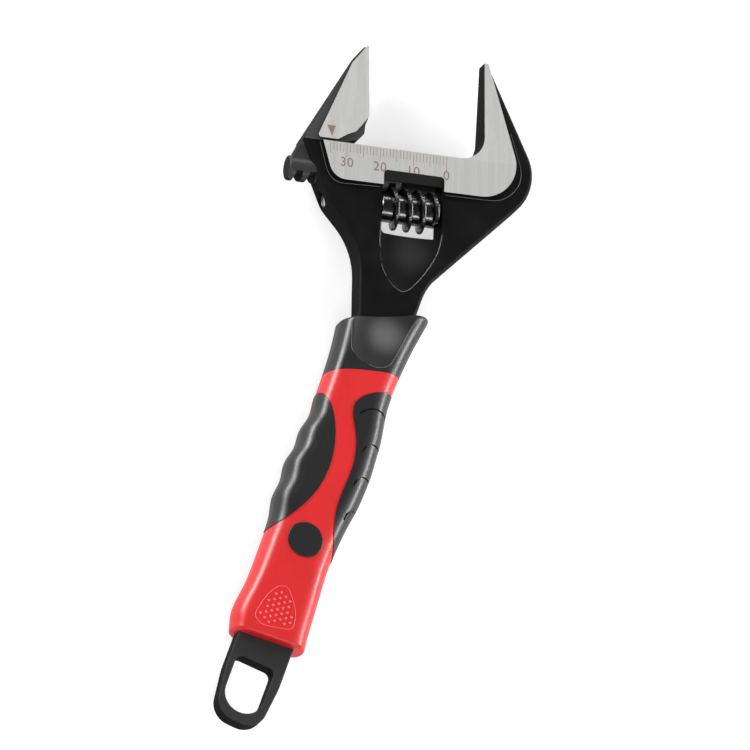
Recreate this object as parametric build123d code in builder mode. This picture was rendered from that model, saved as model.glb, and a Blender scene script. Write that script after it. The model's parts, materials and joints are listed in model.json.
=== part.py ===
from build123d import *
from math import cos, pi, radians, sin
import os

# A wide-opening adjustable wrench, lying flat with its handle towards -Y. Millimetres.
#
# Two working frames are used. HEAD has its origin on the fixed jaw's gripping face at the head's top
# edge, half way through the thickness: x runs along the jaw's travel and y towards the jaw tips.
# HANDLE is turned into the handle's own direction: x runs across the grip and y towards the head.

# ---- placement of the two working frames --------------------------------------------------------
HEAD_AT = (29.73, 73.06, 7.21)
HANDLE_AT = (-33.1, -65.9)
HANDLE_LEAN = 17.9

# ---- thicknesses, all measured from the middle plane --------------------------------------------
FACE_HALF = 5.0
WEB_HALF = 4.0
TAIL_HALF = 2.7
TIP_HALF = 2.4
JAW_TOP = 31.2
FIXED_JAW_TOP = 30.6
FAR = 260.0
FLANK_RADIUS = 1.3
TAIL_STEP = -40.0
TAIL_RADIUS = 0.5
# Distances used to pick edges: on a plane, and clear of the gripping face and the top edge.
TOUCHING = 0.01
CLEAR_OF_FACE = 0.3

# ---- sliding jaw and its channel ----------------------------------------------------------------
OPENING = 34.8
JAW_GAP = 0.15
ROD_Y = -8.1
ROD_RADIUS = 3.65
ROD_LEFT = -57.9
ROD_RIGHT = -24.1
ROD_EDGE_RADIUS = 0.7
WEB_RIGHT = -44.0
SLIDE_WEB_HALF = 2.8
SLIDE_CLEARANCE = 0.15
CHANNEL_END = 11.5
SLOT_END = -8.6

# ---- worm drive ---------------------------------------------------------------------------------
PITCH = 4.0
WORM_Y = -16.2
WORM_CREST_RADIUS = 6.3
WORM_ROOT_RADIUS = 4.2
CREST_HALF_WIDTH = 0.6
CREST_FOOT_HALF_WIDTH = 1.0
CREST_AT = -22.2
WORM_LEFT = -30.1
WORM_RIGHT = -12.5
RACK_ROOT_Y = -9.6
RACK_CLEARANCE = 0.3
RACK_START = -59.2
RACK_GROOVES = 9
RACK_MOUTH_Y = -12.6
GROOVE_HALF = CREST_HALF_WIDTH + RACK_CLEARANCE
GROOVE_MOUTH_HALF = 1.4
LEAD_SLOPE = PITCH / (2 * pi * WORM_CREST_RADIUS)
THREAD_START = CREST_AT - 1.5 * PITCH
THREAD_LENGTH = 14.8
THREAD_FOOT_RADIUS = WORM_ROOT_RADIUS - 0.3
PIN_RADIUS = 1.6
PIN_HEAD_RADIUS = 2.2
PIN_LEFT = -46.7
PIN_SHOULDER = -31.0
PIN_RIGHT = -6.0
PIN_FIT = 0.05
PIN_CHAMFER = 0.4
PIN_SLOT_WIDTH = 0.8
PIN_SLOT_DEPTH = 1.0
SPRING_WIRE = 0.3
SPRING_RADIUS = 2.15
SPRING_SEAT_RADIUS = 2.7
SPRING_SEAT_DEPTH = 5.0
SPRING_START = WORM_RIGHT - SPRING_SEAT_DEPTH + SPRING_WIRE + 0.05
SPRING_PITCH = 1.1
SPRING_LENGTH = 4.75

# ---- window -------------------------------------------------------------------------------------
WINDOW_LEFT = -30.2
WINDOW_RIGHT = -12.0
WINDOW_TOP = -9.3
WINDOW_BOTTOM = -25.1
WINDOW_RADIUS = 1.2
LIP_TOP = -6.5
LIP_DEPTH = 0.9
LIP_LENGTH = 6.0

# ---- thumb dish, scooped by an ellipsoid whose middle stands above the plate, inside an outline ----
DISH_AT = (-21.9, -28.0)
DISH_LEAN = 9.0
DISH_SEMI_AXES = (21.2, 31.1, 12.0)
DISH_DEPTH = 1.4
DISH_EDGE = [
    (-30.3, -20.0),
    (-30.5, -29.0),
    (-29.0, -37.0),
    (-23.6, -42.1),
    (-18.3, -37.8),
    (-13.6, -30.0),
    (-12.0, -22.0),
]

# ---- grip ---------------------------------------------------------------------------------------
PAD_DEPTH = 1.2
PAD_PROUD = 0.2
GROOVE_DEPTH = 0.5
GROOVE_WIDTH = 0.5
GROOVE_START = -12.6
GROOVE_SPACING = 10.6
GROOVE_INNER_ENDS = (2.0, 6.4, 7.4, 8.4)
GROOVE_INNER_DROP = 3.2
GROOVE_OUTER_END = 14.0
GROOVE_OUTER_DROP = 5.5
GROOVE_CREST = 10.0
PLUG_AT = (-0.3, -58.3)
PLUG_RADIUS = 5.2
PLUG_FLOOR = 5.4
PLUG_TOP = 7.05
PLUG_FIT = 0.05
PLUG_EDGE_RADIUS = 0.3
GRIP_CORNER = 5.8
GRIP_TOP_RADIUS = 1.0
GRIP_BOTTOM_RADIUS = 1.0
GRIP_REACH = 20.0

# Grip sections: distance along the handle, left edge, right edge, half thickness.
GRIP_STATIONS = [
    (28, -12.7, 12.9, 7.1),
    (20, -12.5, 12.4, 7.1),
    (12, -11.9, 11.2, 7.1),
    (4, -11.0, 10.4, 7.0),
    (-4, -10.5, 9.9, 7.0),
    (-10, -10.4, 10.0, 7.0),
    (-15, -10.2, 10.7, 7.0),
    (-19.5, -9.9, 11.4, 7.0),
    (-25, -11.0, 11.8, 7.0),
    (-30, -10.8, 12.1, 7.0),
    (-36, -11.9, 12.0, 7.0),
    (-41, -11.3, 11.7, 7.0),
    (-46.5, -11.8, 10.9, 7.0),
    (-52, -10.9, 10.3, 6.9),
    (-60, -10.6, 9.9, 6.8),
    (-68, -10.6, 10.2, 6.7),
    (-77, -11.1, 10.8, 6.5),
    (-86, -11.6, 11.5, 6.2),
    (-95, -12.1, 11.7, 5.9),
]
GRIP_TOP_CUT = [(-20, 6.2), (20, 25.8)]
GRIP_BOTTOM_CUT = [(-20, -91.9), (20, -87.7)]
COLLAR_EDGE = [(-16, -9.4), (-2, -3.2), (16, 2.0)]
COLLAR_REACH = 60.0
COLLAR_HALF = 7.1
COLLAR_DISH_AT = (-0.8, 20.0)
COLLAR_DISH_SEMI_AXES = (17.5, 40.0, 12.0)
COLLAR_DISH_DEPTH = 2.4
COLLAR_DISH_EDGE = [
    (-9.9, 13.0),
    (-7.9, 5.5),
    (-5.9, 0.9),
    (0.4, -0.7),
    (4.6, 1.0),
    (5.9, 5.0),
    (7.0, 13.0),
    (8.9, 21.0),
]
LEFT_PAD_EDGE = [
    (-14, -12.2),
    (-9.6, -13.8),
    (-5.8, -18.2),
    (-2.5, -25.6),
    (-1.1, -35),
    (-3.6, -47),
    (-8.9, -55.8),
    (-14, -61.2),
]
RIGHT_PAD_EDGE = [
    (14, -4.4),
    (7.6, -6.2),
    (2.6, -9),
    (-0.4, -13.4),
    (2.4, -21.3),
    (5.2, -33),
    (5, -45.4),
    (8.2, -55.6),
    (14, -66),
]

HEAD = Plane(origin=HEAD_AT)
SIDE = Plane(origin=HEAD_AT, x_dir=(0, 1, 0), z_dir=(1, 0, 0))
LEAN = radians(HANDLE_LEAN)
HANDLE = Plane(
    origin=HEAD.from_local_coords(Vector(*HANDLE_AT, 0)),
    x_dir=(cos(LEAN), -sin(LEAN), 0),
    z_dir=(0, 0, 1),
)
WORM_AXIS = Plane(
    origin=HEAD.from_local_coords(Vector(0, WORM_Y, 0)),
    x_dir=(0, 0, -1),
    z_dir=(1, 0, 0),
)
ROD_AXIS = Plane(
    origin=HEAD.from_local_coords(Vector(0, ROD_Y, 0)),
    x_dir=(0, 1, 0),
    z_dir=(1, 0, 0),
)


def from_handle(across, along, radius):
    """A corner given in the handle's frame, moved into the head's frame."""
    x = HANDLE_AT[0] + across * cos(LEAN) + along * sin(LEAN)
    y = HANDLE_AT[1] - across * sin(LEAN) + along * cos(LEAN)
    return (x, y, radius)


def points(corners):
    return [(x, y) for x, y, _ in corners]


def radii(corners):
    return [radius for _, _, radius in corners]


def thickness_profile(half):
    """Side view, y against z: level from the tail to the head's top edge, then tapering to the tips."""
    tip = half - (FACE_HALF - TIP_HALF)
    rise = [(-FAR, half), (0, half), (JAW_TOP, tip)]
    return rise + [(y, -z) for y, z in reversed(rise)]


# ---- outlines, each corner as x, y and the radius that rounds it ---------------------------------
BODY_CORNERS = [
    (0, FIXED_JAW_TOP, 0),
    (1.7, FIXED_JAW_TOP, 0),
    (17.8, -5.4, 14.6),
    (-15.85, -39.5, 18),
    from_handle(8.3, -102, 20),
    from_handle(6.7, -116.4, 6.2),
    from_handle(-6.9, -116.4, 6.2),
    from_handle(-8.5, -102, 20),
    (-36.3, -50.7, 12),
    (-36.5, -29.2, 22),
    (-46.4, -18.4, 10),
    (-54.3, 0, 0),
    (0, 0, 7.5),
]
FACE_CORNERS = [
    (0, FIXED_JAW_TOP, 0),
    (1.2, FIXED_JAW_TOP, 0.6),
    (12.9, -10.6, 10.6),
    (-45.3, -11.1, 5),
    (-48.7, 0, 0),
    (0, 0, 7.5),
]
JAW_CORNERS = [
    (-OPENING, JAW_TOP, 0.3),
    (-36.2, JAW_TOP - 0.5, 0.8),
    (-38.8, 27.4, 3),
    (-54.2, JAW_GAP, 0.4),
    (-42.8, JAW_GAP, 2),
    (-38.4, 1.6, 2),
    (-36.0, 3.7, 2),
    (-35.7, 6.6, 2),
    (-OPENING, 8.9, 0),
]
JAW_FACE_CORNERS = [
    (-OPENING, JAW_TOP, 0),
    (-35.6, JAW_TOP - 0.4, 0.4),
    (-39.9, 25.2, 4),
    (-50.5, JAW_GAP + 0.6, 0.8),
    (-44.2, JAW_GAP + 0.6, 1),
    (-41.5, 2.6, 1.5),
    (-38.8, 3.9, 1.5),
    (-37.0, 6.2, 1.5),
    (-OPENING, 9.2, 0),
]
SLIDE_WEB_CORNERS = [
    (WEB_RIGHT, 2.0, 0),
    (-53.1, 2.0, 0),
    (-57.3, -6.2, 0.8),
    (-57.7, ROD_Y, 0),
    (WEB_RIGHT, ROD_Y, 0),
]
HANG_HOLE_CORNERS = [
    (-6.4, -97.2, 2),
    (5.4, -97.2, 2),
    (5.4, -113.3, 5.8),
    (-6.4, -113.3, 5.8),
]


def dish_cutter(frame, outline, middle, lean, depth_under, semi_axes):
    """The ellipsoids that scoop a dish out of both faces, kept inside the dish's outline."""
    height = depth_under + semi_axes[2]
    scoop = scale(Sphere(1), by=semi_axes)
    with BuildPart() as cutter:
        for side in (1, -1):
            add(frame.location * Location((*middle, side * height), (0, 0, lean)) * scoop)
        with BuildSketch(frame):
            with BuildLine():
                Spline(*outline)
                Line(outline[-1], outline[0])
            make_face()
        extrude(amount=height, both=True, mode=Mode.INTERSECT)
    return cutter.part


thumb_dish = dish_cutter(
    HEAD, DISH_EDGE, DISH_AT, -DISH_LEAN, WEB_HALF - DISH_DEPTH, DISH_SEMI_AXES
)
collar_dish = dish_cutter(
    HANDLE, COLLAR_DISH_EDGE, COLLAR_DISH_AT, 0, COLLAR_HALF - COLLAR_DISH_DEPTH, COLLAR_DISH_SEMI_AXES
)


# ---- forged frame -------------------------------------------------------------------------------
def tail_edges(part):
    """Edges of the thin tail and of its hanging hole, on both faces."""
    chosen = ShapeList()
    for edge in part.edges():
        middle = HANDLE.to_local_coords(edge.center())
        on_face = abs(abs(middle.Z) - TAIL_HALF) < TOUCHING
        if on_face and middle.Y < TAIL_STEP - 1:
            chosen.append(edge)
    return chosen


def flank_edges(part):
    """Long edges of a plate, without those round the gripping face, the throat and the top edge."""
    chosen = ShapeList()
    for edge in part.edges():
        middle = HEAD.to_local_coords(edge.center())
        outside = middle.X > CLEAR_OF_FACE or middle.Y < -CLEAR_OF_FACE
        if outside and abs(middle.Z) > TIP_HALF / 2 and abs(middle.Y) > TOUCHING:
            chosen.append(edge)
    return chosen


with BuildPart() as web:
    with BuildSketch(HEAD):
        with BuildLine():
            FilletPolyline(*points(BODY_CORNERS), radius=radii(BODY_CORNERS), close=True)
        make_face()
    extrude(amount=WEB_HALF, both=True)
    with BuildSketch(SIDE):
        Polygon(*thickness_profile(WEB_HALF), align=None)
    extrude(amount=FAR, both=True, mode=Mode.INTERSECT)
    fillet(flank_edges(web.part), radius=FLANK_RADIUS)

with BuildPart() as plateau:
    with BuildSketch(HEAD):
        with BuildLine():
            FilletPolyline(*points(FACE_CORNERS), radius=radii(FACE_CORNERS), close=True)
        make_face()
    extrude(amount=FACE_HALF, both=True)
    with BuildSketch(SIDE):
        Polygon(*thickness_profile(FACE_HALF), align=None)
    extrude(amount=FAR, both=True, mode=Mode.INTERSECT)

# The tail is thinner than the web; the step between them is inside the grip.
with BuildPart() as tail:
    with BuildSketch(HEAD):
        with BuildLine():
            FilletPolyline(*points(BODY_CORNERS), radius=radii(BODY_CORNERS), close=True)
        make_face()
    extrude(amount=TAIL_HALF, both=True)
    with BuildSketch(HANDLE):
        with Locations((0, TAIL_STEP - FAR / 2)):
            Rectangle(FAR, FAR)
    extrude(amount=TAIL_HALF, both=True, mode=Mode.INTERSECT)
    with BuildSketch(HANDLE):
        with BuildLine():
            FilletPolyline(*points(HANG_HOLE_CORNERS), radius=radii(HANG_HOLE_CORNERS), close=True)
        make_face()
    extrude(amount=TAIL_HALF, both=True, mode=Mode.SUBTRACT)
    fillet(tail_edges(tail.part), radius=TAIL_RADIUS)

with BuildPart() as body:
    add(web.part)
    with BuildSketch(HANDLE):
        with Locations((0, TAIL_STEP - FAR / 2)):
            Rectangle(FAR, FAR)
    extrude(amount=WEB_HALF, both=True, mode=Mode.SUBTRACT)
    add(tail.part)
    add(plateau.part)
    # Window for the worm, right through.
    with BuildSketch(HEAD):
        with Locations(((WINDOW_LEFT + WINDOW_RIGHT) / 2, (WINDOW_TOP + WINDOW_BOTTOM) / 2)):
            RectangleRounded(WINDOW_RIGHT - WINDOW_LEFT, WINDOW_TOP - WINDOW_BOTTOM, WINDOW_RADIUS)
    extrude(amount=FAR, both=True, mode=Mode.SUBTRACT)
    for side in (1, -1):
        # Sloping lip over the window: its floor runs out of the raised face and into the window.
        lip = Plane(
            origin=HEAD.from_local_coords(Vector(0, LIP_TOP, side * FACE_HALF)),
            x_dir=(1, 0, 0),
            z_dir=(0, -side * LIP_DEPTH, LIP_TOP - WINDOW_TOP),
        )
        with BuildSketch(lip):
            with Locations(((WINDOW_LEFT + WINDOW_RIGHT) / 2, -LIP_LENGTH / 2)):
                RectangleRounded(WINDOW_RIGHT - WINDOW_LEFT, LIP_LENGTH, WINDOW_RADIUS)
        extrude(amount=side * WEB_HALF, mode=Mode.SUBTRACT)
    add(thumb_dish, mode=Mode.SUBTRACT)
    # Round channel for the jaw's rod, with a narrower slot above it for the web of the jaw.
    with BuildSketch(ROD_AXIS.offset(CHANNEL_END)):
        Circle(ROD_RADIUS + SLIDE_CLEARANCE)
    extrude(amount=-FAR, mode=Mode.SUBTRACT)
    with BuildSketch(ROD_AXIS.offset(SLOT_END)):
        with Locations((JAW_TOP / 2, 0)):
            Rectangle(JAW_TOP, 2 * (SLIDE_WEB_HALF + SLIDE_CLEARANCE))
    extrude(amount=-FAR, mode=Mode.SUBTRACT)
    # Worm pin's bore: wide from the left flank to its shoulder, narrow through to the far side.
    with BuildSketch(WORM_AXIS.offset(PIN_SHOULDER)):
        Circle(PIN_HEAD_RADIUS + PIN_FIT)
    extrude(amount=-FAR, mode=Mode.SUBTRACT)
    with BuildSketch(WORM_AXIS.offset(PIN_SHOULDER)):
        Circle(PIN_RADIUS + PIN_FIT)
    extrude(amount=PIN_RIGHT + PIN_FIT - PIN_SHOULDER, mode=Mode.SUBTRACT)

# ---- sliding jaw --------------------------------------------------------------------------------
with BuildPart() as jaw_blade:
    with BuildSketch(HEAD):
        with BuildLine():
            FilletPolyline(*points(JAW_CORNERS), radius=radii(JAW_CORNERS), close=True)
        make_face()
    extrude(amount=WEB_HALF, both=True)
    with BuildSketch(SIDE):
        Polygon(*thickness_profile(WEB_HALF), align=None)
    extrude(amount=FAR, both=True, mode=Mode.INTERSECT)

with BuildPart() as jaw_face:
    with BuildSketch(HEAD):
        with BuildLine():
            FilletPolyline(*points(JAW_FACE_CORNERS), radius=radii(JAW_FACE_CORNERS), close=True)
        make_face()
    extrude(amount=FACE_HALF, both=True)
    with BuildSketch(SIDE):
        Polygon(*thickness_profile(FACE_HALF), align=None)
    extrude(amount=FAR, both=True, mode=Mode.INTERSECT)

with BuildPart() as moving_jaw:
    with BuildSketch(ROD_AXIS.offset(ROD_LEFT)):
        Circle(ROD_RADIUS)
    extrude(amount=ROD_RIGHT - ROD_LEFT)
    fillet(moving_jaw.edges().filter_by(GeomType.CIRCLE), radius=ROD_EDGE_RADIUS)
    # Rack grooves, slanted by the worm's lead angle.
    for turn in range(RACK_GROOVES):
        groove = Plane(
            origin=HEAD.from_local_coords(Vector(RACK_START + PITCH * turn, RACK_ROOT_Y, 0)),
            x_dir=(1, 0, -LEAD_SLOPE),
            z_dir=(LEAD_SLOPE, 0, 1),
        )
        with BuildSketch(groove):
            Polygon(
                (-GROOVE_HALF, 0),
                (GROOVE_HALF, 0),
                (GROOVE_MOUTH_HALF, RACK_MOUTH_Y - RACK_ROOT_Y),
                (-GROOVE_MOUTH_HALF, RACK_MOUTH_Y - RACK_ROOT_Y),
                align=None,
            )
        extrude(amount=2 * ROD_RADIUS, both=True, mode=Mode.SUBTRACT)
    with BuildSketch(HEAD):
        with BuildLine():
            FilletPolyline(
                *points(SLIDE_WEB_CORNERS), radius=radii(SLIDE_WEB_CORNERS), close=True
            )
        make_face()
    extrude(amount=SLIDE_WEB_HALF, both=True)
    add(jaw_blade.part)
    add(jaw_face.part)

# ---- worm, its pin and its spring ---------------------------------------------------------------
with BuildPart() as thread:
    with BuildLine():
        Helix(PITCH, THREAD_LENGTH, THREAD_FOOT_RADIUS)
    with BuildSketch(Plane(origin=(THREAD_FOOT_RADIUS, 0, 0), x_dir=(1, 0, 0), z_dir=(0, -1, 0))):
        Polygon(
            (0, -CREST_FOOT_HALF_WIDTH),
            (WORM_CREST_RADIUS - THREAD_FOOT_RADIUS, -CREST_HALF_WIDTH),
            (WORM_CREST_RADIUS - THREAD_FOOT_RADIUS, CREST_HALF_WIDTH),
            (0, CREST_FOOT_HALF_WIDTH),
            align=None,
        )
    sweep(is_frenet=True)

with BuildPart() as worm:
    with BuildSketch(WORM_AXIS.offset(WORM_LEFT)):
        Circle(WORM_ROOT_RADIUS)
    extrude(amount=WORM_RIGHT - WORM_LEFT)
    add(WORM_AXIS.offset(THREAD_START).location * thread.part)
    with BuildSketch(WORM_AXIS.offset(WORM_LEFT)):
        Circle(PIN_RADIUS + PIN_FIT)
    extrude(amount=WORM_RIGHT - WORM_LEFT, mode=Mode.SUBTRACT)
    with BuildSketch(WORM_AXIS.offset(WORM_RIGHT)):
        Circle(SPRING_SEAT_RADIUS)
    extrude(amount=-SPRING_SEAT_DEPTH, mode=Mode.SUBTRACT)

with BuildPart() as worm_pin:
    with BuildSketch(WORM_AXIS.offset(PIN_LEFT)):
        Circle(PIN_HEAD_RADIUS)
    extrude(amount=PIN_SHOULDER - PIN_LEFT)
    chamfer(worm_pin.faces().sort_by(Axis.X)[0].edges(), length=PIN_CHAMFER)
    with BuildSketch(WORM_AXIS.offset(PIN_SHOULDER)):
        Circle(PIN_RADIUS)
    extrude(amount=PIN_RIGHT - PIN_SHOULDER)
    with BuildSketch(WORM_AXIS.offset(PIN_LEFT)):
        Rectangle(PIN_SLOT_WIDTH, 4 * PIN_HEAD_RADIUS)
    extrude(amount=PIN_SLOT_DEPTH, mode=Mode.SUBTRACT)

with BuildPart() as coil:
    with BuildLine():
        Helix(SPRING_PITCH, SPRING_LENGTH, SPRING_RADIUS)
    with BuildSketch(Plane(origin=(SPRING_RADIUS, 0, 0), x_dir=(1, 0, 0), z_dir=(0, -1, 0))):
        Circle(SPRING_WIRE)
    sweep(is_frenet=True)

with BuildPart() as worm_spring:
    add(WORM_AXIS.offset(SPRING_START).location * coil.part)

# ---- grip ---------------------------------------------------------------------------------------
def grip_section(station, growth):
    """One rounded section across the grip, grown or shrunk by a margin all round."""
    along, left, right, half = station
    plane = Plane(
        origin=HANDLE.from_local_coords(Vector((left + right) / 2, along, 0)),
        x_dir=HANDLE.x_dir,
        z_dir=HANDLE.y_dir,
    )
    with BuildSketch(plane) as section:
        RectangleRounded(right - left + 2 * growth, 2 * (half + growth), GRIP_CORNER + growth)
    return section.sketch


def grip_loft(growth):
    """The whole grip's smooth outer form, grown or shrunk by a margin."""
    with BuildPart() as form:
        for station in GRIP_STATIONS:
            add(grip_section(station, growth))
        loft()
    return form.part


grip_form = grip_loft(0)
pad_skin = grip_loft(PAD_PROUD)
groove_floor = grip_loft(PAD_PROUD - GROOVE_DEPTH)
grip_core = grip_loft(-PAD_DEPTH)

# The grip's two ends: slanting at the top, square at the bottom.
with BuildPart() as grip_length:
    with BuildSketch(HANDLE):
        with BuildLine():
            Polyline(*GRIP_TOP_CUT, *reversed(GRIP_BOTTOM_CUT), close=True)
        make_face()
    extrude(amount=GRIP_REACH, both=True)

with BuildPart() as grip_blank:
    add(grip_form)
    add(grip_length.part, mode=Mode.INTERSECT)
    ends = grip_blank.faces().filter_by(GeomType.PLANE).sort_by(Axis.Y)
    fillet(ends[0].edges(), radius=GRIP_BOTTOM_RADIUS)
    ends = grip_blank.faces().filter_by(GeomType.PLANE).sort_by(Axis.Y)
    fillet(ends[-1].edges(), radius=GRIP_TOP_RADIUS)

with BuildPart() as collar_zone:
    with BuildSketch(HANDLE):
        with BuildLine():
            ThreePointArc(*COLLAR_EDGE)
            Polyline(
                COLLAR_EDGE[-1], (GRIP_REACH, COLLAR_REACH), (-GRIP_REACH, COLLAR_REACH), COLLAR_EDGE[0]
            )
        make_face()
    extrude(amount=GRIP_REACH, both=True)


def pad_zone(edge, outside):
    """Everything on the outer side of a pad's inner edge, right through the grip."""
    top, bottom = edge[0], edge[-1]
    with BuildPart() as zone:
        with BuildSketch(HANDLE):
            with BuildLine():
                Spline(*edge)
                Polyline(bottom, (outside, bottom[1]), (outside, top[1]), top)
            make_face()
        extrude(amount=GRIP_REACH, both=True)
    return zone


left_zone = pad_zone(LEFT_PAD_EDGE, -GRIP_REACH)
right_zone = pad_zone(RIGHT_PAD_EDGE, GRIP_REACH)

with BuildPart() as grip_collar:
    add(grip_blank.part)
    add(collar_zone.part, mode=Mode.INTERSECT)
    add(collar_dish, mode=Mode.SUBTRACT)
    add(body.part, mode=Mode.SUBTRACT)

with BuildPart() as grip_pad_left:
    add(pad_skin)
    add(grip_core, mode=Mode.SUBTRACT)
    add(left_zone.part, mode=Mode.INTERSECT)
    add(body.part, mode=Mode.SUBTRACT)

# Crescent grooves that divide the right pad into overlapping scales.
with BuildPart() as pad_grooves:
    for order, inner in enumerate(GROOVE_INNER_ENDS):
        along = GROOVE_START - GROOVE_SPACING * order
        with BuildSketch(HANDLE):
            with BuildLine():
                ThreePointArc(
                    (GROOVE_OUTER_END, along - GROOVE_OUTER_DROP),
                    ((inner + GROOVE_CREST) / 2, along),
                    (inner, along - GROOVE_INNER_DROP),
                )
            trace(line_width=GROOVE_WIDTH)
        extrude(amount=GRIP_REACH, both=True)
    add(groove_floor, mode=Mode.SUBTRACT)

with BuildPart() as grip_pad_right:
    add(pad_skin)
    add(grip_core, mode=Mode.SUBTRACT)
    add(right_zone.part, mode=Mode.INTERSECT)
    add(pad_grooves.part, mode=Mode.SUBTRACT)
    add(body.part, mode=Mode.SUBTRACT)


def grip_plug(side):
    """Round cover let into one face of the sleeve."""
    with BuildPart() as plug:
        with BuildSketch(HANDLE.offset(side * PLUG_FLOOR)):
            with Locations(PLUG_AT):
                Circle(PLUG_RADIUS)
        extrude(amount=side * (PLUG_TOP - PLUG_FLOOR))
        outer = plug.faces().sort_by(Axis.Z)[-1 if side > 0 else 0]
        fillet(outer.edges(), radius=PLUG_EDGE_RADIUS)
    return plug


grip_plug_front = grip_plug(1)
grip_plug_back = grip_plug(-1)

with BuildPart() as grip_sleeve:
    add(grip_blank.part)
    add(collar_zone.part, mode=Mode.SUBTRACT)
    for zone in (left_zone, right_zone):
        add(zone.part - grip_core, mode=Mode.SUBTRACT)
    for side in (1, -1):
        with BuildSketch(HANDLE.offset(side * PLUG_FLOOR)):
            with Locations(PLUG_AT):
                Circle(PLUG_RADIUS + PLUG_FIT)
        extrude(amount=side * GRIP_REACH, mode=Mode.SUBTRACT)
    add(body.part, mode=Mode.SUBTRACT)

PIECES = {
    "body": body,
    "moving_jaw": moving_jaw,
    "worm": worm,
    "worm_pin": worm_pin,
    "worm_spring": worm_spring,
    "grip_sleeve": grip_sleeve,
    "grip_collar": grip_collar,
    "grip_pad_left": grip_pad_left,
    "grip_pad_right": grip_pad_right,
    "grip_plug_front": grip_plug_front,
    "grip_plug_back": grip_plug_back,
}

os.makedirs("parts", exist_ok=True)
for name, piece in PIECES.items():
    piece.part.label = name
    export_step(piece.part, f"parts/{name}.step")
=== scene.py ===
import json
import math

import bmesh
import bpy
from mathutils import Matrix, Vector
from mathutils.bvhtree import BVHTree


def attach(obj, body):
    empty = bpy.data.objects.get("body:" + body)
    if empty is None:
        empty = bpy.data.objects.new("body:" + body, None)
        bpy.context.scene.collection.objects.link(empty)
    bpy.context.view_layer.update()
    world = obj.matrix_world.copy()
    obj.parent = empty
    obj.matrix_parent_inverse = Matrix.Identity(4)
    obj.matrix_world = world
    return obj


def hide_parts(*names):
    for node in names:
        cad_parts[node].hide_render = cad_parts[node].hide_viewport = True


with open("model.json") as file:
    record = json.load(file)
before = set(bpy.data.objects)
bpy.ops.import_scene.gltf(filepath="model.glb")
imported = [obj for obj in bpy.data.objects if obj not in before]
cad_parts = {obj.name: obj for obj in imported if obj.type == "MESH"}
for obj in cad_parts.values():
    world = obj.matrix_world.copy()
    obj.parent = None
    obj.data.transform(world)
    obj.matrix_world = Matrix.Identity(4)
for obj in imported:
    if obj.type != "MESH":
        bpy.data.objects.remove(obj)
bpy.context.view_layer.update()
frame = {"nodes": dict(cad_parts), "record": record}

# Adjustable wrench, lying flat. Everything is in metres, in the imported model's own frame.
MM = 0.001
UP = Vector((0, 0, 1))
WHITE = (1, 1, 1, 1)

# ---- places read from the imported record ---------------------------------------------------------
nodes = frame["nodes"]
fixed_face = next(m for m in frame["record"]["mounts"] if m["name"] == "fixed_jaw_face")["pos_m"]

# The mount lies in the middle of the fixed jaw's gripping face, this far past the head's top edge.
MOUNT_PAST_TOP = 20 * MM
FACE_X = fixed_face[0]
HEAD_TOP_Y = fixed_face[1] - MOUNT_PAST_TOP
MID_Z = fixed_face[2]

# Half thicknesses: over the raised ground faces, over the web, and at the jaw tips.
FACE_HALF = 5.0 * MM
WEB_HALF = 4.0 * MM
TIP_HALF = 2.4 * MM
JAW_LENGTH = 31.2 * MM
TAPER = (FACE_HALF - TIP_HALF) / JAW_LENGTH

# The handle leans from the head's axis and starts where the grip's collar meets the neck.
LEAN = math.radians(17.9)
DOWN_HANDLE = Vector((-math.sin(LEAN), -math.cos(LEAN), 0))
ACROSS_HANDLE = Vector((math.cos(LEAN), -math.sin(LEAN), 0))
HANDLE_ORIGIN = Vector((FACE_X - 33.1 * MM, HEAD_TOP_Y - 65.9 * MM, MID_Z))


def head_point(x, y, z=0.0):
    """A point in the head's own millimetres: x from the fixed jaw's face, y from the head's top edge."""
    return Vector((FACE_X + x * MM, HEAD_TOP_Y + y * MM, MID_Z + z * MM))


def handle_point(across, down, z=0.0):
    """A point in the handle's own millimetres: across the grip, down towards the tail."""
    place = HANDLE_ORIGIN + ACROSS_HANDLE * across * MM + DOWN_HANDLE * down * MM
    return place + Vector((0, 0, z * MM))


# ---- camera -------------------------------------------------------------------------------------
IMAGE_WIDTH_MM = 214.3
LENS = 1400
SENSOR = 36
TILT = math.radians(26.0)
TILT_TOWARDS = math.radians(43.1)
ROLL = math.radians(4.6)
CLIP_END = 20
# The head's origin lies this far right of and above the middle of the picture, in millimetres.
HEAD_RIGHT_MM = 29.8
HEAD_UP_MM = 59.5


def add_camera():
    """A long lens from the lower left, above the wrench, tilted from the vertical."""
    ux, uy = math.cos(TILT_TOWARDS), math.sin(TILT_TOWARDS)
    short = 1 - math.cos(TILT)
    rise = math.sin(TILT)
    right = Vector((1 - short * ux * ux, -short * ux * uy, rise * ux))
    up = Vector((-short * ux * uy, 1 - short * uy * uy, rise * uy))
    roll = Matrix.Rotation(ROLL, 3, "Z")
    right, up = (roll @ right).normalized(), (roll @ up).normalized()
    back = right.cross(up)
    target = head_point(0, 0) - right * HEAD_RIGHT_MM * MM - up * HEAD_UP_MM * MM
    distance = IMAGE_WIDTH_MM * MM * LENS / SENSOR
    data = bpy.data.cameras.new("camera")
    data.lens = LENS
    data.sensor_width = SENSOR
    data.clip_end = CLIP_END
    camera = bpy.data.objects.new("camera", data)
    axes = Matrix((right, up, back)).transposed().to_4x4()
    camera.matrix_world = Matrix.Translation(target + back * distance) @ axes
    bpy.context.scene.collection.objects.link(camera)
    bpy.context.scene.camera = camera


# ---- shader helpers -----------------------------------------------------------------------------
# Noise mostly lies between these two values.
NOISE_RANGE = (0.3, 0.7)
# A surface's upright share is 1 on a flat face and 0 on a side.
FACE_UPRIGHT = 0.985
WALL_UPRIGHT = 0.25


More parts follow.
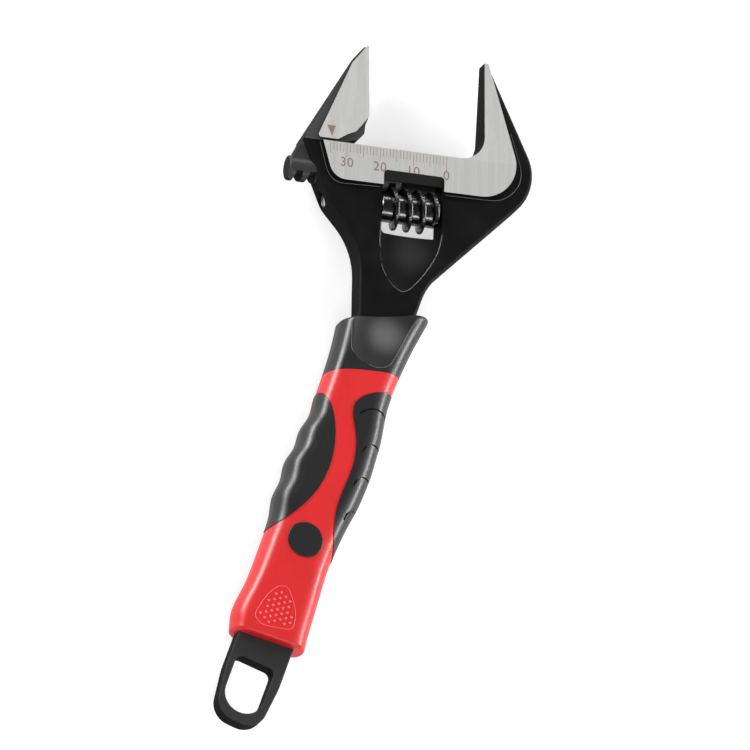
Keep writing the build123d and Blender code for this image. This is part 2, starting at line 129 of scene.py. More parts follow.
class Shader:
    """One material's node tree, with short calls for the nodes this scene uses."""

    def __init__(self, name):
        self.material = bpy.data.materials.new(name)
        self.material.use_nodes = True
        self.tree = self.material.node_tree
        self.bsdf = self.tree.nodes["Principled BSDF"]
        self.coords = self.tree.nodes.new("ShaderNodeTexCoord").outputs["Object"]

    def link(self, source, target):
        self.tree.links.new(source, target)

    def put(self, socket, value):
        """Links a socket, or sets a plain value."""
        if isinstance(value, bpy.types.NodeSocket):
            self.link(value, socket)
        else:
            socket.default_value = value

    def math(self, operation, first, second=0.0):
        """One step of arithmetic."""
        node = self.tree.nodes.new("ShaderNodeMath")
        node.operation = operation
        self.put(node.inputs[0], first)
        self.put(node.inputs[1], second)
        return node.outputs[0]

    def scaled(self, scale):
        """Object coordinates stretched by one factor an axis."""
        node = self.tree.nodes.new("ShaderNodeMapping")
        self.link(self.coords, node.inputs["Vector"])
        node.inputs["Scale"].default_value = scale
        return node.outputs["Vector"]

    def noise(self, scale, detail=4.0, rough=0.5, stretch=None):
        """Cloudy noise; stretch drags it out along an axis, as brushing or turning does."""
        node = self.tree.nodes.new("ShaderNodeTexNoise")
        self.link(self.scaled(stretch) if stretch else self.coords, node.inputs["Vector"])
        node.inputs["Scale"].default_value = scale
        node.inputs["Detail"].default_value = detail
        node.inputs["Roughness"].default_value = rough
        return node.outputs["Fac"]

    def map_range(self, value, source, target=(0, 1), kind="LINEAR"):
        """Maps one range of values onto another, without going past its ends."""
        node = self.tree.nodes.new("ShaderNodeMapRange")
        node.interpolation_type = kind
        node.inputs["From Min"].default_value, node.inputs["From Max"].default_value = source
        node.inputs["To Min"].default_value, node.inputs["To Max"].default_value = target
        self.link(value, node.inputs["Value"])
        return node.outputs["Result"]

    def spread(self, value, low, high):
        """Maps noise onto low..high."""
        return self.map_range(value, NOISE_RANGE, (low, high))

    def mix(self, factor, first, second, kind="RGBA"):
        """Mixes two colours."""
        node = self.tree.nodes.new("ShaderNodeMix")
        node.data_type = kind
        self.put(node.inputs["Factor"], factor)
        self.put(node.inputs["A"], first)
        self.put(node.inputs["B"], second)
        return node.outputs["Result"]

    def blend(self, factor, first, second):
        """Mixes two numbers."""
        return self.mix(factor, first, second, "FLOAT")

    def uneven(self, cloud, first, second, low, high):
        """Colours the material between two shades, and sets its roughness from low to high."""
        self.put(self.bsdf.inputs["Base Color"], self.mix(self.spread(cloud, 0, 1), first, second))
        self.put(self.bsdf.inputs["Roughness"], self.spread(cloud, low, high))

    def bump(self, height, strength, distance):
        """Gives the surface a fine relief."""
        node = self.tree.nodes.new("ShaderNodeBump")
        node.inputs["Strength"].default_value = strength
        node.inputs["Distance"].default_value = distance
        self.link(height, node.inputs["Height"])
        self.link(node.outputs["Normal"], self.bsdf.inputs["Normal"])

    def split(self, vector):
        """A vector's three parts."""
        node = self.tree.nodes.new("ShaderNodeSeparateXYZ")
        self.link(vector, node.inputs[0])
        return node.outputs

    def upright(self, normal):
        """The surface's upright share: 1 on a flat face, 0 on a side."""
        geometry = self.tree.nodes.new("ShaderNodeNewGeometry")
        return self.math("ABSOLUTE", self.split(geometry.outputs[normal])["Z"])

    def face_and_wall(self):
        """Two masks: 1 on the raised, ground faces, and 1 on the upright sides."""
        place = self.split(self.coords)
        above = self.math("ABSOLUTE", self.math("SUBTRACT", place["Z"], MID_Z))
        past = self.math("MAXIMUM", self.math("SUBTRACT", place["Y"], HEAD_TOP_Y), 0.0)
        level = self.math("ADD", above, self.math("MULTIPLY", past, TAPER))
        high = self.math("GREATER_THAN", level, (FACE_HALF + WEB_HALF) / 2)
        upright = self.upright("True Normal")
        flat = self.math("GREATER_THAN", upright, FACE_UPRIGHT)
        wall = self.math("LESS_THAN", upright, WALL_UPRIGHT)
        return self.math("MULTIPLY", high, flat), wall

    def near(self, place, reach):
        """1 over a place on either face, fading smoothly to 0 at a distance."""
        node = self.tree.nodes.new("ShaderNodeVectorMath")
        node.operation = "DISTANCE"
        self.link(self.scaled((1, 1, 0)), node.inputs[0])
        node.inputs[1].default_value = (place.x, place.y, 0)
        return self.map_range(node.outputs["Value"], (reach, 0), kind="SMOOTHERSTEP")

    def slope(self, limits):
        """0 to 1 as the surface's upright share goes from one limit to the other."""
        return self.map_range(self.upright("Normal"), limits, kind="SMOOTHSTEP")

    def inside(self, axis, low, high):
        """1 between two places along one axis of the frame."""
        place = self.split(self.coords)[axis]
        above = self.math("GREATER_THAN", place, low)
        below = self.math("LESS_THAN", place, high)
        return self.math("MULTIPLY", above, below)


def rgb(red, green, blue):
    """A colour from its sRGB values, 0 to 255."""
    def linear(value):
        value /= 255
        return value / 12.92 if value <= 0.04045 else ((value + 0.055) / 1.055) ** 2.4
    return (linear(red), linear(green), linear(blue), 1.0)


# ---- materials ----------------------------------------------------------------------------------
# Ground steel: two shades in broad streaks, and a darker one in the fine grain.
STEEL_BROAD = (rgb(184, 184, 183), rgb(198, 198, 197))
STEEL_GRAIN = rgb(166, 166, 165)
STEEL_METALLIC = 0.35
STEEL_ROUGHNESS = (0.5, 0.62)
# Paint on the forging: its lighter clouds, and the shade and roughness of its upright sides.
PAINT_CLOUDS = rgb(34, 34, 35)
WALL_SHADE = rgb(7, 7, 7)
WALL_ROUGHNESS = 0.9


def forged_steel(name, dark, dark_rough, gloss, patches, dish_highlight=None):
    """Painted forging with ground, brushed faces: the two finishes meet at the raised face's edge.

    patches are areas painted in another shade, each as its shade and its limits along the axes;
    the last argument is a painted highlight in a dish, as its place, its reach and its shade."""
    shader = Shader(name)
    face, wall = shader.face_and_wall()
    grain = shader.noise(1.0, detail=6, rough=0.65, stretch=(5200, 90, 5200))
    broad = shader.noise(1.0, detail=3, stretch=(420, 14, 420))
    cloud = shader.noise(90, detail=5)
    bright = shader.mix(shader.spread(broad, 0, 1), *STEEL_BROAD)
    bright = shader.mix(shader.spread(grain, 0, 0.55), bright, STEEL_GRAIN)
    paint = dark
    for shade, limits in patches:
        where = 1.0
        for axis, (low, high) in limits.items():
            where = shader.math("MULTIPLY", where, shader.inside(axis, low, high))
        paint = shader.mix(where, paint, shade)
    # A painted highlight: lighter paint over the dish, fading out from its middle.
    if dish_highlight:
        place, reach, shade = dish_highlight
        paint = shader.mix(shader.near(place, reach), paint, shade)
    lighter = shader.mix(0.4, paint, PAINT_CLOUDS)
    paint = shader.mix(shader.spread(cloud, 0, 0.4), paint, lighter)
    paint = shader.mix(wall, paint, WALL_SHADE)
    shader.put(shader.bsdf.inputs["Base Color"], shader.mix(face, paint, bright))
    shader.put(shader.bsdf.inputs["Metallic"], shader.blend(face, 0.0, STEEL_METALLIC))
    rough_face = shader.spread(grain, *STEEL_ROUGHNESS)
    rough_paint = shader.spread(cloud, dark_rough - 0.05, dark_rough + 0.07)
    rough_paint = shader.blend(wall, rough_paint, WALL_ROUGHNESS)
    shader.put(shader.bsdf.inputs["Roughness"], shader.blend(face, rough_paint, rough_face))
    shader.bsdf.inputs["Specular IOR Level"].default_value = gloss
    peel = shader.noise(1900, detail=4, rough=0.6)
    shader.bump(shader.blend(face, peel, grain), 0.25, 0.06 * MM)
    return shader.material


def black_oxide(name):
    """Blackened, polished machine steel: dark, with strong reflections."""
    shader = Shader(name)
    cloud = shader.noise(260, detail=5)
    turned = shader.noise(1.0, detail=4, stretch=(9000, 500, 500))
    shade = shader.mix(shader.spread(cloud, 0, 1), rgb(70, 70, 71), rgb(96, 96, 97))
    shader.put(shader.bsdf.inputs["Base Color"], shade)
    shader.bsdf.inputs["Metallic"].default_value = 1.0
    shader.put(shader.bsdf.inputs["Roughness"], shader.spread(turned, 0.2, 0.28))
    shader.bump(turned, 0.1, 0.02 * MM)
    return shader.material


def bright_steel(name):
    """Turned, uncoated steel for the pin and its spring."""
    shader = Shader(name)
    turned = shader.noise(1.0, detail=4, stretch=(7000, 300, 300))
    shader.uneven(turned, rgb(205, 205, 205), rgb(168, 168, 166), 0.22, 0.34)
    shader.bsdf.inputs["Metallic"].default_value = 0.9
    shader.bump(turned, 0.2, 0.03 * MM)
    return shader.material


def worn_rim(name):
    """A rim painted grey: a painted highlight along the edges and outlines it follows."""
    shader = Shader(name)
    shader.uneven(shader.noise(240, detail=4), rgb(66, 66, 67), rgb(98, 98, 99), 0.3, 0.45)
    return shader.material


def lighten(tone, factor, lift=0.0):
    """A colour made brighter, for a material's clouds."""
    return tuple(min(1.0, factor * c + lift) for c in tone[:3]) + (1.0,)


def etched_mark(name, tone):
    """Matt etched marking, a little uneven as an etch is."""
    shader = Shader(name)
    shader.uneven(shader.noise(1400, detail=4), tone, lighten(tone, 1.35), 0.55, 0.7)
    return shader.material


# The grip's faces and sides are left as moulded; its rounded edges are polished by the hand.
# The finishes fade into each other between these upright shares.
FACE_FADE = (0.88, 0.98)
SIDE_FADE = (0.62, 0.25)
FACE_ROUGHNESS = 0.52
SIDE_ROUGHNESS = 0.5
GRIP_GLOSS = 0.5


def moulded_plastic(name, tone, rough, grain, dish_highlight=None):
    """Moulded grip material: even colour, fine spark-eroded texture and a few faint rubs.

    the last argument is a painted highlight in a dish, as its place, its reach and its shade."""
    shader = Shader(name)
    texture = shader.noise(grain, detail=5, rough=0.6)
    rubs = shader.noise(1.0, detail=4, rough=0.7, stretch=(160, 30, 160))
    cloud = shader.noise(60, detail=3)
    colour = shader.mix(shader.spread(cloud, 0, 1), tone, lighten(tone, 1.12, 0.002))
    # A painted highlight: lighter plastic over the dish, fading out from its middle.
    if dish_highlight:
        place, reach, shade = dish_highlight
        colour = shader.mix(shader.near(place, reach), colour, shade)
    shader.put(shader.bsdf.inputs["Base Color"], colour)
    polish = shader.spread(rubs, rough - 0.05, rough + 0.06)
    polish = shader.blend(shader.slope(SIDE_FADE), polish, SIDE_ROUGHNESS)
    polish = shader.blend(shader.slope(FACE_FADE), polish, FACE_ROUGHNESS)
    shader.put(shader.bsdf.inputs["Roughness"], polish)
    shader.bsdf.inputs["Specular IOR Level"].default_value = GRIP_GLOSS
    shader.bump(texture, 0.18, 0.05 * MM)
    return shader.material


# Painted areas in another shade: the window's lip, the tail under the grip, and the jaw's rod.
# BELOW_ALL lies past the tail's end.
BELOW_ALL = -1.0
LIP_PATCH = {
    "X": (head_point(-30.3, 0).x, head_point(-11.9, 0).x),
    "Y": (head_point(0, -9.4).y, head_point(0, -6.4).y),
}
TAIL_PATCH = {"Y": (BELOW_ALL, handle_point(0, 88).y)}
ROD_PATCH = {"Y": (BELOW_ALL, head_point(0, -1.5).y)}
# Painted highlights in the two dishes: lighter colour fading out from a place, standing in for light
# caught in the hollow.
THUMB_DISH_HIGHLIGHT = (head_point(-20.6, -30.0), 9.5 * MM, rgb(40, 40, 41))
COLLAR_DISH_HIGHLIGHT = (handle_point(1.6, -10.4), 8.6 * MM, rgb(88, 88, 89))
FRAME_PATCHES = ((rgb(30, 30, 31), LIP_PATCH), (rgb(50, 50, 51), TAIL_PATCH))
JAW_PATCHES = ((rgb(52, 52, 53), ROD_PATCH),)
GRIP_BLACK = rgb(3, 3, 4)
MATERIALS = {
    "body": forged_steel("forged_frame", rgb(6, 6, 6), 0.5, 0.12, FRAME_PATCHES, THUMB_DISH_HIGHLIGHT),
    "jaw": forged_steel("forged_jaw", rgb(68, 68, 69), 0.42, 0.25, JAW_PATCHES),
    "worm": black_oxide("worm_black"),
    "pin": bright_steel("pin_steel"),
    "mark": etched_mark("etched_mark", rgb(114, 97, 87)),
    "rim": worn_rim("worn_rim"),
    "tick": etched_mark("etched_tick", rgb(126, 111, 102)),
    "red": moulded_plastic("grip_red", rgb(200, 21, 24), 0.33, 2600),
    # The dots and their outline are a lighter pink than the sleeve: a painted highlight on the domes.
    "dots": moulded_plastic("grip_dots_painted_highlight", rgb(232, 92, 94), 0.4, 2600),
    "black": moulded_plastic("grip_black", GRIP_BLACK, 0.32, 3200),
    "collar": moulded_plastic("collar_black", GRIP_BLACK, 0.32, 3200, COLLAR_DISH_HIGHLIGHT),
}
NODE_MATERIALS = {
    "body": "body",
    "moving_jaw": "jaw",
    "worm": "worm",
    "worm_pin": "pin",
    "worm_spring": "pin",
    "grip_sleeve": "red",
    "grip_collar": "collar",
    "grip_pad_left": "black",
    "grip_pad_right": "black",
    "grip_plug_front": "black",
    "grip_plug_back": "black",
}


def dress_nodes():
    """Gives every CAD node its finished material."""
    for name, key in NODE_MATERIALS.items():
        node = nodes[name]
        node.data.materials.clear()
        node.data.materials.append(MATERIALS[key])


# ---- pieces made as meshes ----------------------------------------------------------------------
def shade_by_angle(mesh, degrees):
    """Smooth shading that stays crisp over edges sharper than the angle."""
    limit = math.radians(degrees)
    shape = bmesh.new()
    shape.from_mesh(mesh)
    for face in shape.faces:
        face.smooth = True
    for edge in shape.edges:
        edge.smooth = edge.is_manifold and edge.calc_face_angle(math.pi) < limit
    shape.to_mesh(mesh)
    shape.free()


def add_piece(name, mesh, material, body, crisp=None):
    """Puts a finished mesh in the scene and says which body it rides.

    A piece is shaded smooth up to its crisp angle, in degrees, or flat if it has none."""
    mesh.materials.append(MATERIALS[material])
    piece = bpy.data.objects.new(name, mesh)
    bpy.context.scene.collection.objects.link(piece)
    if crisp:
        shade_by_angle(mesh, crisp)
    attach(piece, body)
    return piece


def mesh_of(build, name):
    """Makes a mesh from a function that fills a bmesh."""
    shape = bmesh.new()
    build(shape)
    bmesh.ops.recalc_face_normals(shape, faces=shape.faces)
    mesh = bpy.data.meshes.new(name)
    shape.to_mesh(mesh)
    shape.free()
    return mesh


def skin(shape, rings, closed=False):
    """Covers a row of rings, all with as many points, and caps its ends.

    A closed row joins its last ring to its first instead."""
    rings = [[shape.verts.new(place) for place in ring] for ring in rings]
    pairs = list(zip(rings, rings[1:]))
    if closed:
        pairs.append((rings[-1], rings[0]))
    else:
        shape.faces.new(list(reversed(rings[0])))
        shape.faces.new(rings[-1])
    for first, second in pairs:
        for i in range(len(first)):
            j = (i + 1) % len(first)
            shape.faces.new((first[i], first[j], second[j], second[i]))


def turns(count):
    """Evenly spaced angles round a circle."""
    return [2 * math.pi * i / count for i in range(count)]


def smooth_path(points, steps):
    """Catmull-Rom curve through points given as (x, y)."""
    guide = [points[0], *points, points[-1]]
    path = []
    for k in range(len(points) - 1):
        a, b, c, d = (Vector(p) for p in guide[k:k + 4])
        slope = c - a
        bend = 2 * a - 5 * b + 4 * c - d
        twist = 3 * b - a - 3 * c + d
        for i in range(steps):
            t = i / steps
            path.append(0.5 * (2 * b + slope * t + bend * t * t + twist * t ** 3))
    path.append(Vector(points[-1]))
    return path


def add_bead(shape, path, radius, closed=False):
    """A fine rounded bead along a list of points, square to the path."""
    rings = []
    count = len(path)
    for i, place in enumerate(path):
        before = path[i - 1] if closed or i else place
        after = path[(i + 1) % count] if closed or i < count - 1 else place
        forward = (after - before).normalized()
        side = forward.cross(UP).normalized()
        lift = side.cross(forward)
        ring = []
        for angle in turns(BEAD_SIDES):
            out = side * math.cos(angle) + lift * math.sin(angle)
            ring.append(place + out * radius * MM)
        rings.append(ring)
    skin(shape, rings, closed)


# Rays onto a node start this far from the middle plane, outside every node.
RAY_START = 20


class Surface:
    """The outer surface of one CAD node, reached by vertical rays."""

    def __init__(self, name):
        self.place_of = nodes[name].matrix_world
        self.inverse = self.place_of.inverted()
        self.tree = BVHTree.FromObject(nodes[name], bpy.context.evaluated_depsgraph_get())

    def under(self, place, side):
        """Where the ray onto a place of the middle plane meets a side, and the normal there.

        Both are None where the ray passes the node by."""
        start = self.inverse @ (place + UP * side * RAY_START * MM)
        hit, normal = self.tree.ray_cast(start, UP * -side)[:2]
        if hit is None:
            return None, None
        return self.place_of @ hit, normal


# ---- worm: a turned root with a knurled thread round it, as it is on the bench ------------------
WORM_AXIS_Y = -16.2
WORM_ENDS = (-30.1, -12.5)
WORM_SIDES = 96
WORM_ROOT = 4.2
WORM_CHAMFER = 0.3
WORM_BORE = 1.65
# The spring's seat, bored from the right end.
SEAT_RADIUS = 2.7
SEAT_DEPTH = 5.0
THREAD_FROM = -28.2
THREAD_TURNS = 3.7
THREAD_PITCH = 4.0
# Steps over which the thread rises at its start and sinks at its end.
THREAD_RUN_OUT = 24
# One side of the thread's section: radius and half width, from its foot up to the crest.
THREAD_SECTION = ((4.0, 1.0), (5.85, 0.66), (6.14, 0.54), (6.28, 0.28))
KNURLS_A_TURN = 44
KNURL_STEPS = 4
KNURL_DEPTH = 0.26
# The knurling cuts the thread outside this radius.
KNURL_FROM = 5.5
WORM_CRISP = 28


def worm_point(x, radius, angle):
    """A point round the worm's axis; its x is the head's, all in millimetres."""
    return head_point(x, WORM_AXIS_Y + radius * math.sin(angle), -radius * math.cos(angle))


def build_root(shape):
    """Root, its two end faces, the spring's seat and the bore, as one turned profile."""
    left, right = WORM_ENDS
    profile = [
        (left, WORM_BORE),
        (left, WORM_ROOT - WORM_CHAMFER),
        (left + WORM_CHAMFER, WORM_ROOT),
        (right - WORM_CHAMFER, WORM_ROOT),
        (right, WORM_ROOT - WORM_CHAMFER),
        (right, SEAT_RADIUS),
        (right - SEAT_DEPTH, SEAT_RADIUS),
        (right - SEAT_DEPTH, WORM_BORE),
    ]
    rings = [[worm_point(x, radius, angle) for angle in turns(WORM_SIDES)] for x, radius in profile]
    skin(shape, rings, closed=True)


def build_thread(shape):
    """The thread's section runs along the helix and is notched by the knurling."""
    outline = [(radius, -half) for radius, half in THREAD_SECTION]
    outline += [(radius, half) for radius, half in reversed(THREAD_SECTION)]
    foot = THREAD_SECTION[0][0]
    steps = round(THREAD_TURNS * KNURLS_A_TURN * KNURL_STEPS)
    rings = []
    for i in range(steps + 1):
        angle = 2 * math.pi * THREAD_TURNS * i / steps
        x = THREAD_FROM + THREAD_PITCH * THREAD_TURNS * i / steps
        rise = min(1.0, (i + 1) / THREAD_RUN_OUT, (steps - i + 1) / THREAD_RUN_OUT)
        notch = KNURL_DEPTH if i % KNURL_STEPS >= KNURL_STEPS // 2 else 0.0
        ring = []
        for radius, half in outline:
            height = radius - foot - (notch if radius > KNURL_FROM else 0.0)
            ring.append(worm_point(x + half, foot + height * rise, angle))
        rings.append(ring)
    skin(shape, rings)


def add_worm():
    """The finished worm, shown in place of the CAD one."""
    def build(shape):
        build_root(shape)
        build_thread(shape)

    mesh = mesh_of(build, "knurled_worm")
    worm = add_piece("knurled_worm", mesh, "worm", "worm", WORM_CRISP)
    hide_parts("worm")


# ---- rims: round the foot of the raised face, the thumb dish and the collar's dish --------------
FACE_FOOT_LEFT = (
    (-49.3, -0.4), (-48.0, -5.0), (-46.9, -8.6), (-45.4, -10.8), (-42.9, -11.9), (-39.0, -11.8),
    (-31.0, -11.5),
)
FACE_FOOT_RIGHT = (
    (-11.4, -11.45), (-4.0, -11.3), (1.8, -11.2), (5.6, -10.5), (8.9, -8.1), (10.9, -4.8),
    (11.2, -0.9), (10.2, 3.1), (8.2, 10.0),
)
DISH_RIM = (
    (-30.35, -22.0), (-30.55, -29.0), (-29.05, -37.0), (-23.6, -42.2), (-18.25, -37.8),
    (-13.5, -30.0), (-11.95, -23.6),
)
# The collar's rim is in the handle's millimetres, counted up the handle.
COLLAR_RIM = (
    (-9.3, 10.6), (-7.95, 5.5), (-5.95, 0.9), (0.4, -0.8), (4.65, 1.0), (6.0, 5.0), (7.1, 13.0),
    (8.2, 18.2),
)
BEAD_SIDES = 8
BEAD_CRISP = 50
RIM_STEPS = 8
RIM_SUNK = 0.03
FORGED_BEAD = 0.13
COLLAR_BEAD = 0.11


def add_surface_beads(shape, node, places, radius):
    """A bead on each side of a node, along the places where the node is there to carry it."""
    surface = Surface(node)
    for side in (1, -1):
        hits = [surface.under(place, side)[0] for place in places]
        path = [hit - UP * side * RIM_SUNK * MM for hit in hits if hit is not None]
        add_bead(shape, path, radius)


# The rims' grey is a painted highlight along edges and outlines.
def add_rims():
    """The forging's three rims and the collar's one."""
    def build_forged(shape):
        for guide in (FACE_FOOT_LEFT, FACE_FOOT_RIGHT, DISH_RIM):
            places = [head_point(p.x, p.y) for p in smooth_path(guide, RIM_STEPS)]
            add_surface_beads(shape, "body", places, FORGED_BEAD)

    def build_collar(shape):
        places = [handle_point(p.x, -p.y) for p in smooth_path(COLLAR_RIM, RIM_STEPS)]
        add_surface_beads(shape, "grip_collar", places, COLLAR_BEAD)

    forged = mesh_of(build_forged, "forged_rims")
    add_piece("forged_rims", forged, "rim", "frame", BEAD_CRISP)
    collar = mesh_of(build_collar, "collar_rim")
    add_piece("collar_rim", collar, "rim", "frame", BEAD_CRISP)


# ---- grip pattern: a rounded triangle of fine dots, apex towards the head, on both faces --------
DOTS_OUTLINE = (
    (-2.8, 74.6), (-0.4, 74.1), (2.2, 76.6), (4.5, 80.4), (5.1, 83.8), (4.3, 85.4),
    (0.6, 86.5), (-3.0, 87.3), (-5.1, 86.8), (-6.4, 85.2), (-5.9, 81.4), (-4.5, 77.2),
)
OUTLINE_STEPS = 6
OUTLINE_BEAD = 0.11
DOTS_MIDDLE = Vector((-0.9, 81.4))
DOTS_LEAN = math.radians(24)
DOTS_SPACING = 1.75
# The rows are this share of the spacing apart, and every other row is shifted by half of it.
ROW_SHARE = 0.87
# Enough rows and columns each way to fill the outline; dots stay clear of it by a margin.
DOTS_REACH = 6
DOTS_MARGIN = 0.85
DOT_SIDES = 12
DOT_RADIUS = 0.42
DOT_HEIGHT = 0.22
DOT_SUNK = 0.08
# The dome's rings, as shares of its radius.
DOT_RINGS = (0.92, 0.7, 0.35)


def inside_outline(point, outline, margin):
    """Whether a point lies inside a closed outline and clear of it by a margin."""
    within = False
    for (x1, y1), (x2, y2) in zip(outline, outline[1:] + outline[:1]):
        crosses = (y1 > point.y) != (y2 > point.y)
        if crosses and point.x < (x2 - x1) * (point.y - y1) / (y2 - y1) + x1:
            within = not within
        edge = Vector((x2 - x1, y2 - y1))
        gap = point - Vector((x1, y1))
        along = max(0.0, min(1.0, gap.dot(edge) / edge.length_squared))
        if (gap - edge * along).length < margin:
            return False
    return within


def add_dome(shape, place, normal):
    """A low rounded stud on a surface, with its foot sunk into it."""
    up = normal.normalized()
    first = up.orthogonal().normalized()
    second = up.cross(first)
    levels = [(1.0, -DOT_SUNK)]
    levels += [(share, DOT_HEIGHT * math.sqrt(1 - share * share)) for share in DOT_RINGS]
    rings = []
    for share, height in levels:
        ring = []
        for angle in turns(DOT_SIDES):
            out = (first * math.cos(angle) + second * math.sin(angle)) * DOT_RADIUS * share
            ring.append(place + (out + up * height) * MM)
        rings.append(ring)
    skin(shape, rings)


def dot_places(outline):
    """Staggered rows of dots, leaning across the grip, that lie inside the outline."""
    turn = Matrix.Rotation(DOTS_LEAN, 2)
    each_way = range(-DOTS_REACH, DOTS_REACH + 1)
    for row in each_way:
        for column in each_way:
            across = (column + 0.5 * (row % 2)) * DOTS_SPACING
            down = row * DOTS_SPACING * ROW_SHARE
            spot = DOTS_MIDDLE + turn @ Vector((across, down))
            if inside_outline(spot, outline, DOTS_MARGIN):
                yield spot


def add_grip_dots():
    """Domed dots and their outline stand on the sleeve's own surface."""
    sleeve = Surface("grip_sleeve")
    loop = smooth_path(DOTS_OUTLINE + DOTS_OUTLINE[:1], OUTLINE_STEPS)[:-1]
    outline = [(p.x, p.y) for p in loop]

    def build(shape):
        for side in (1, -1):
            path = [sleeve.under(handle_point(*spot), side)[0] for spot in outline]
            add_bead(shape, path, OUTLINE_BEAD, closed=True)
            for spot in dot_places(outline):
                add_dome(shape, *sleeve.under(handle_point(*spot), side))

    # The dots' lighter pink is a painted highlight.
    mesh = mesh_of(build, "grip_dots_painted_highlight")
    add_piece("grip_dots_painted_highlight", mesh, "dots", "frame", BEAD_CRISP)


# ---- scale: etched on both faces, so it reads the same when the wrench is turned over -----------
SCALE_ZERO_X = -11.5
SCALE_LENGTH = 35
TICK_FIRST_Y = -0.35
TICK_WIDTH = 0.15
# The length of a tick whose reading is a whole multiple of the step; the first that fits counts.
TICK_LENGTHS = {10: 4.1, 5: 3.4, 1: 2.4}
MARK_SUNK = 0.04
MARK_PROUD = 0.02
POINTER = ((-47.5, 4.8), (-44.9, 4.8), (-46.1, 1.5))


def build_marks(shape, outline):
    """Closed plates a hair proud of both ground faces; outline is in the head's millimetres."""
    for side in (1, -1):
        rings = []
        for proud in (-MARK_SUNK, MARK_PROUD):
            ring = []
            for x, y in outline:
                level = FACE_HALF / MM - max(y, 0.0) * TAPER + proud
                ring.append(head_point(x, y, side * level))
            rings.append(ring)
        skin(shape, rings)


def add_scale():
    """One tick a millimetre, the fives and tens longer."""
    def build(shape):
        for reading in range(SCALE_LENGTH + 1):
            length = next(TICK_LENGTHS[step] for step in TICK_LENGTHS if reading % step == 0)
            foot = TICK_FIRST_Y - length
            left = SCALE_ZERO_X - reading - TICK_WIDTH / 2
            right = left + TICK_WIDTH
            tick = ((left, foot), (right, foot), (right, TICK_FIRST_Y), (left, TICK_FIRST_Y))
            build_marks(shape, tick)

    add_piece("scale_ticks", mesh_of(build, "scale_ticks"), "tick", "frame")


def add_pointer():
    """The small triangle on the moving jaw that reads the scale."""
    mesh = mesh_of(lambda shape: build_marks(shape, POINTER), "jaw_pointer")
    add_piece("jaw_pointer", mesh, "mark", "jaw")


NUMBERS = (0, 10, 20, 30)
NUMBER_Y = -6.0
NUMBER_SIZE = 3.944
NUMBER_SPACING = 1.06
NUMBER_CURVES = 8
# The window's lip cuts the foot off the numbers above it.
LIP_Y = -6.55
LIP_LEFT, LIP_RIGHT = -30.2, -12.0


def number_mesh(reading):
    """A flat, upright number round the origin."""
    text = bpy.data.curves.new("number", "FONT")
    text.body = str(reading)
    text.align_x = "CENTER"
    text.align_y = "CENTER"
    text.size = NUMBER_SIZE * MM
    text.space_character = NUMBER_SPACING
    text.extrude = (MARK_SUNK + MARK_PROUD) / 2 * MM
    text.resolution_u = NUMBER_CURVES
    carrier = bpy.data.objects.new("number", text)
    bpy.context.scene.collection.objects.link(carrier)
    bpy.context.view_layer.update()
    finished = carrier.evaluated_get(bpy.context.evaluated_depsgraph_get())
    mesh = bpy.data.meshes.new_from_object(finished)
    bpy.data.objects.remove(carrier)
    return mesh


def cut_foot(mesh):
    """Cuts off what lies below the window's lip."""
    shape = bmesh.new()
    shape.from_mesh(mesh)
    everything = shape.verts[:] + shape.edges[:] + shape.faces[:]
    bmesh.ops.bisect_plane(
        shape, geom=everything, plane_co=head_point(0, LIP_Y), plane_no=(0, -1, 0), clear_outer=True
    )
    shape.to_mesh(mesh)
    shape.free()


def add_numbers():
    """Upright numbers under the long ticks of both faces."""
    for side, word in ((1, "front"), (-1, "back")):
        shape = bmesh.new()
        for reading in NUMBERS:
            x = SCALE_ZERO_X - reading
            middle = side * (FACE_HALF / MM + (MARK_PROUD - MARK_SUNK) / 2)
            place = Matrix.Translation(head_point(x, NUMBER_Y, middle))
            if side < 0:
                place = place @ Matrix.Rotation(math.pi, 4, "Y")
            number = number_mesh(reading)
            number.transform(place)
            if LIP_LEFT < x < LIP_RIGHT:
                cut_foot(number)
            shape.from_mesh(number)
        mesh = bpy.data.meshes.new("scale_numbers_" + word)
        shape.to_mesh(mesh)
        shape.free()
        add_piece("scale_numbers_" + word, mesh, "mark", "frame")


# ---- stage --------------------------------------------------------------------------------------
FLOOR_HALF = 6.0
FLOOR_SHADES = (rgb(194, 194, 194), rgb(198, 198, 198))
FLOOR_GLOW = 0.6
WORLD_STRENGTH = 0.14


def add_floor():
    """A plain pale floor under the wrench."""
    shader = Shader("floor")
    cloud = shader.noise(3.0, detail=2)
    shade = shader.mix(shader.spread(cloud, 0, 1), *FLOOR_SHADES)
    shader.put(shader.bsdf.inputs["Base Color"], shade)
    shader.bsdf.inputs["Roughness"].default_value = 0.85
    shader.bsdf.inputs["Specular IOR Level"].default_value = 0.0
    shader.bsdf.inputs["Emission Color"].default_value = WHITE
    shader.bsdf.inputs["Emission Strength"].default_value = FLOOR_GLOW
    mesh = bpy.data.meshes.new("floor")
    h = FLOOR_HALF
    mesh.from_pydata([(-h, -h, 0), (h, -h, 0), (h, h, 0), (-h, h, 0)], [], [(0, 1, 2, 3)])
    mesh.materials.append(shader.material)
    floor = bpy.data.objects.new("floor", mesh)
    bpy.context.scene.collection.objects.link(floor)


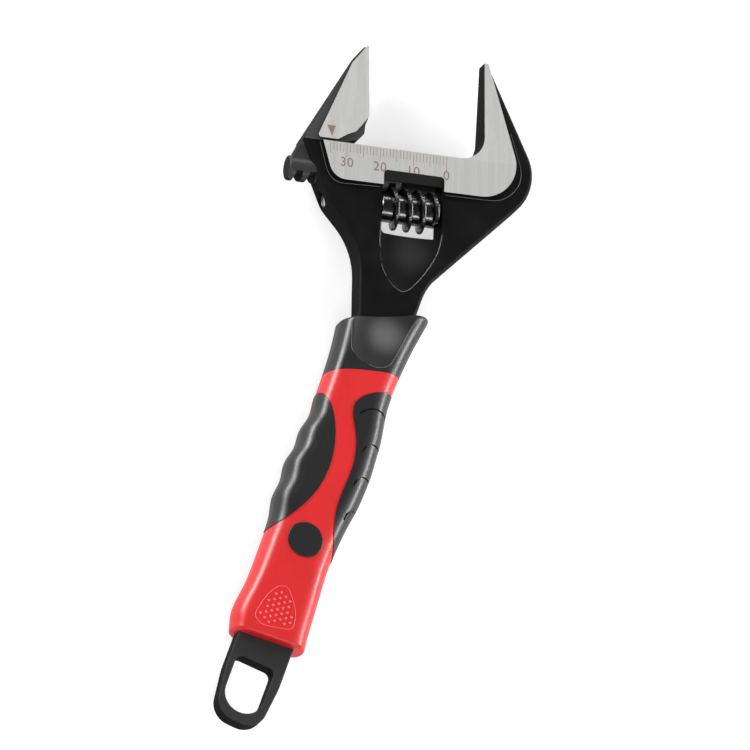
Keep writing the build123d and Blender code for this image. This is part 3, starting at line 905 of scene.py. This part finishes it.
def add_softbox(name, aim, offset, size, power, along=None):
    """A rectangular area light, offset from what it faces.

    Its long side is horizontal, or runs along a given direction as nearly as it can."""
    data = bpy.data.lights.new(name, "AREA")
    data.shape = "RECTANGLE"
    data.size, data.size_y = size
    data.energy = power
    light = bpy.data.objects.new(name, data)
    light.location = aim + offset
    if along is None:
        light.rotation_euler = (-offset).to_track_quat("-Z", "Y").to_euler()
    else:
        back = offset.normalized()
        along = (along - back * along.dot(back)).normalized()
        light.rotation_euler = Matrix((along, back.cross(along), back)).transposed().to_euler()
    bpy.context.scene.collection.objects.link(light)


# Where the lights aim: the middle of the head, and the middle of the grip.
HEAD_MIDDLE = head_point(-21, -16)
GRIP_MIDDLE = handle_point(0, 45)
STRIP_DISTANCE = 0.9
KEY_DISTANCE = 1.2
# Each light: its direction from what it lights, its size and its power.
HEAD_STRIPS = {
    "back_strip": (Vector((0.3, 0.84, 0.42)), (0.6, 0.08), 3.0),
    "front_strip": (Vector((0.3, -0.8, 0.5)), (0.6, 0.08), 3.0),
}
UP_HANDLE = DOWN_HANDLE * -0.4
GRIP_STRIPS = {
    "left_strip": (UP_HANDLE - ACROSS_HANDLE * 0.87 + UP * 0.3, (0.6, 0.16), 8.4),
    "right_strip": (UP_HANDLE + ACROSS_HANDLE * 0.88 + UP * 0.28, (0.7, 0.16), 7.0),
}
KEY = (Vector((-0.3, -0.5, 0.8)), (0.7, 0.7), 5.2)


def add_lights():
    """Narrow strips round the head and along the grip, a soft key light and a dim white world."""
    for name, (towards, size, power) in HEAD_STRIPS.items():
        add_softbox(name, HEAD_MIDDLE, towards * STRIP_DISTANCE, size, power)
    for name, (towards, size, power) in GRIP_STRIPS.items():
        add_softbox(name, GRIP_MIDDLE, towards * STRIP_DISTANCE, size, power, DOWN_HANDLE)
    towards, size, power = KEY
    add_softbox("key", GRIP_MIDDLE, towards * KEY_DISTANCE, size, power)
    world = bpy.data.worlds.new("studio")
    world.use_nodes = True
    background = world.node_tree.nodes["Background"]
    background.inputs["Color"].default_value = WHITE
    background.inputs["Strength"].default_value = WORLD_STRENGTH
    bpy.context.scene.world = world
    bpy.context.scene.view_settings.view_transform = "Standard"


add_camera()
dress_nodes()
add_worm()
add_rims()
add_grip_dots()
add_scale()
add_numbers()
add_pointer()
add_floor()
add_lights()
